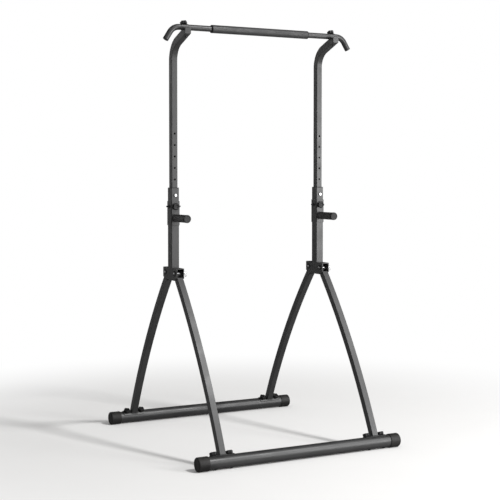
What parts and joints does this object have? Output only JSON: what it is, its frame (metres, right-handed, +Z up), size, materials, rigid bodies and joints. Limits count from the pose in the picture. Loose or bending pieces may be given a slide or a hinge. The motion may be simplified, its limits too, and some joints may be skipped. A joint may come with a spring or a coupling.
{
  "type": "dip station",
  "caption": "Free-standing folding steel frame with a pull-up bar on height-adjustable posts, sliding dip handles, bowed legs and tubular base beams.",
  "frame": {"origin": "on the floor under the middle of the station", "axes": "+Z up; the pull-up bar and both base beams run along X; the dip handles and the bar's arms point forward along -Y"},
  "size_m": [1.1006, 1.1912, 2.102],
  "materials": {
    "steel_frame": "charcoal powder coat, semi-gloss",
    "rubber_cap": "matt, faintly warm black",
    "black_plastic": "moulded, satin",
    "foam_grip": "closed-cell foam, matt",
    "bright_pin": "bright plated",
    "dark_bolt": "black zinc"
  },
  "bodies": {
    "uprights": {"lower_post_left": "steel_frame", "lower_post_right": "steel_frame", "post_collar_left": "black_plastic", "post_collar_right": "black_plastic", "hinge_pin_front_left": "bright_pin", "hinge_pin_front_right": "bright_pin", "hinge_pin_rear_left": "bright_pin", "hinge_pin_rear_right": "bright_pin"},
    "front_frame": {"base_beam_front": "steel_frame", "beam_cap_front_left": "rubber_cap", "beam_cap_front_right": "rubber_cap", "leg_front_left": "steel_frame", "leg_front_right": "steel_frame", "foot_bolt_front_left_outer": "dark_bolt", "foot_bolt_front_left_inner": "dark_bolt", "foot_bolt_front_right_outer": "dark_bolt", "foot_bolt_front_right_inner": "dark_bolt"},
    "rear_frame": {"base_beam_rear": "steel_frame", "beam_cap_rear_left": "rubber_cap", "beam_cap_rear_right": "rubber_cap", "leg_rear_left": "steel_frame", "leg_rear_right": "steel_frame", "foot_bolt_rear_left_outer": "dark_bolt", "foot_bolt_rear_left_inner": "dark_bolt", "foot_bolt_rear_right_outer": "dark_bolt", "foot_bolt_rear_right_inner": "dark_bolt"},
    "upper_frame": {"upper_post_left": "steel_frame", "upper_post_right": "steel_frame", "pull_up_bar": "steel_frame", "bar_grip": "foam_grip", "bar_cap_left": "black_plastic", "bar_cap_right": "black_plastic"},
    "handle_left": {"dip_sleeve_left": "steel_frame", "dip_grip_left": "foam_grip", "dip_cap_left": "black_plastic", "sleeve_screw_left_outer": "dark_bolt", "sleeve_screw_left_inner": "dark_bolt"},
    "handle_right": {"dip_sleeve_right": "steel_frame", "dip_grip_right": "foam_grip", "dip_cap_right": "black_plastic", "sleeve_screw_right_outer": "dark_bolt", "sleeve_screw_right_inner": "dark_bolt"},
    "foot_knob_front_left_outer_body": {"foot_knob_front_left_outer": "black_plastic"},
    "foot_knob_front_left_inner_body": {"foot_knob_front_left_inner": "black_plastic"},
    "foot_knob_front_right_outer_body": {"foot_knob_front_right_outer": "black_plastic"},
    "foot_knob_front_right_inner_body": {"foot_knob_front_right_inner": "black_plastic"},
    "foot_knob_rear_left_outer_body": {"foot_knob_rear_left_outer": "black_plastic"},
    "foot_knob_rear_left_inner_body": {"foot_knob_rear_left_inner": "black_plastic"},
    "foot_knob_rear_right_outer_body": {"foot_knob_rear_right_outer": "black_plastic"},
    "foot_knob_rear_right_inner_body": {"foot_knob_rear_right_inner": "black_plastic"},
    "bar_knob_left_body": {"bar_knob_left": "black_plastic"},
    "sleeve_knob_left_body": {"sleeve_knob_left": "black_plastic"},
    "post_lock_pin_left_body": {"post_lock_pin_left": "bright_pin"},
    "bar_knob_right_body": {"bar_knob_right": "black_plastic"},
    "sleeve_knob_right_body": {"sleeve_knob_right": "black_plastic"},
    "post_lock_pin_right_body": {"post_lock_pin_right": "bright_pin"},
    "pin_ring_front_left_body": {"pin_ring_front_left": "bright_pin"},
    "pin_ring_front_right_body": {"pin_ring_front_right": "bright_pin"},
    "pin_ring_rear_left_body": {"pin_ring_rear_left": "bright_pin"},
    "pin_ring_rear_right_body": {"pin_ring_rear_right": "bright_pin"}
  },
  "joints": [
    {"name": "front_fold", "type": "hinge", "parent": "uprights", "child": "front_frame", "pos_m": [0, -0.057, 0.862], "axis": [1, 0, 0], "range_deg": [0, 32]},
    {"name": "rear_fold", "type": "hinge", "parent": "uprights", "child": "rear_frame", "pos_m": [0, 0.057, 0.862], "axis": [-1, 0, 0], "range_deg": [0, 32]},
    {"name": "height_slide", "type": "slide", "parent": "uprights", "child": "upper_frame", "axis": [0, 0, 1], "range_m": [-0.3072, 0]},
    {"name": "handle_slide_left", "type": "slide", "parent": "uprights", "child": "handle_left", "axis": [0, 0, 1], "range_m": [-0.2, 0.015]},
    {"name": "handle_slide_right", "type": "slide", "parent": "uprights", "child": "handle_right", "axis": [0, 0, 1], "range_m": [-0.2, 0.015]},
    {"name": "foot_knob_turn_front_left_outer", "type": "hinge", "parent": "front_frame", "child": "foot_knob_front_left_outer_body", "pos_m": [-0.4585, -0.562, 0.0332], "axis": [0, 0.4131, 0.9107], "continuous": true},
    {"name": "foot_knob_turn_front_left_inner", "type": "hinge", "parent": "front_frame", "child": "foot_knob_front_left_inner_body", "pos_m": [-0.3765, -0.562, 0.0332], "axis": [0, 0.4131, 0.9107], "continuous": true},
    {"name": "foot_knob_turn_front_right_outer", "type": "hinge", "parent": "front_frame", "child": "foot_knob_front_right_outer_body", "pos_m": [0.4585, -0.562, 0.0332], "axis": [0, 0.4131, 0.9107], "continuous": true},
    {"name": "foot_knob_turn_front_right_inner", "type": "hinge", "parent": "front_frame", "child": "foot_knob_front_right_inner_body", "pos_m": [0.3765, -0.562, 0.0332], "axis": [0, 0.4131, 0.9107], "continuous": true},
    {"name": "foot_knob_turn_rear_left_outer", "type": "hinge", "parent": "rear_frame", "child": "foot_knob_rear_left_outer_body", "pos_m": [-0.4585, 0.562, 0.0332], "axis": [0, -0.4131, 0.9107], "continuous": true},
    {"name": "foot_knob_turn_rear_left_inner", "type": "hinge", "parent": "rear_frame", "child": "foot_knob_rear_left_inner_body", "pos_m": [-0.3765, 0.562, 0.0332], "axis": [0, -0.4131, 0.9107], "continuous": true},
    {"name": "foot_knob_turn_rear_right_outer", "type": "hinge", "parent": "rear_frame", "child": "foot_knob_rear_right_outer_body", "pos_m": [0.4585, 0.562, 0.0332], "axis": [0, -0.4131, 0.9107], "continuous": true},
    {"name": "foot_knob_turn_rear_right_inner", "type": "hinge", "parent": "rear_frame", "child": "foot_knob_rear_right_inner_body", "pos_m": [0.3765, 0.562, 0.0332], "axis": [0, -0.4131, 0.9107], "continuous": true},
    {"name": "bar_knob_turn_left", "type": "hinge", "parent": "upper_frame", "child": "bar_knob_left_body", "pos_m": [-0.4175, -0.1376, 2.0684], "axis": [0, 0.342, 0.9397], "continuous": true},
    {"name": "sleeve_knob_turn_left", "type": "hinge", "parent": "handle_left", "child": "sleeve_knob_left_body", "pos_m": [-0.4175, -0.0283, 1.193], "axis": [0, -1, 0], "continuous": true},
    {"name": "lock_pin_pull_left", "type": "slide", "parent": "uprights", "child": "post_lock_pin_left_body", "axis": [0, -1, 0], "range_m": [0, 0.02]},
    {"name": "bar_knob_turn_right", "type": "hinge", "parent": "upper_frame", "child": "bar_knob_right_body", "pos_m": [0.4175, -0.1376, 2.0684], "axis": [0, 0.342, 0.9397], "continuous": true},
    {"name": "sleeve_knob_turn_right", "type": "hinge", "parent": "handle_right", "child": "sleeve_knob_right_body", "pos_m": [0.4175, -0.0283, 1.193], "axis": [0, -1, 0], "continuous": true},
    {"name": "lock_pin_pull_right", "type": "slide", "parent": "uprights", "child": "post_lock_pin_right_body", "axis": [0, -1, 0], "range_m": [0, 0.02]},
    {"name": "pin_ring_swing_front_left", "type": "hinge", "parent": "uprights", "child": "pin_ring_front_left_body", "pos_m": [-0.3772, -0.057, 0.862], "axis": [0, -1, 0], "range_deg": [-60, 80]},
    {"name": "pin_ring_swing_front_right", "type": "hinge", "parent": "uprights", "child": "pin_ring_front_right_body", "pos_m": [0.4578, -0.057, 0.862], "axis": [0, -1, 0], "range_deg": [-60, 80]},
    {"name": "pin_ring_swing_rear_left", "type": "hinge", "parent": "uprights", "child": "pin_ring_rear_left_body", "pos_m": [-0.3772, 0.057, 0.862], "axis": [0, -1, 0], "range_deg": [-60, 80]},
    {"name": "pin_ring_swing_rear_right", "type": "hinge", "parent": "uprights", "child": "pin_ring_rear_right_body", "pos_m": [0.4578, 0.057, 0.862], "axis": [0, -1, 0], "range_deg": [-60, 80]}
  ]
}
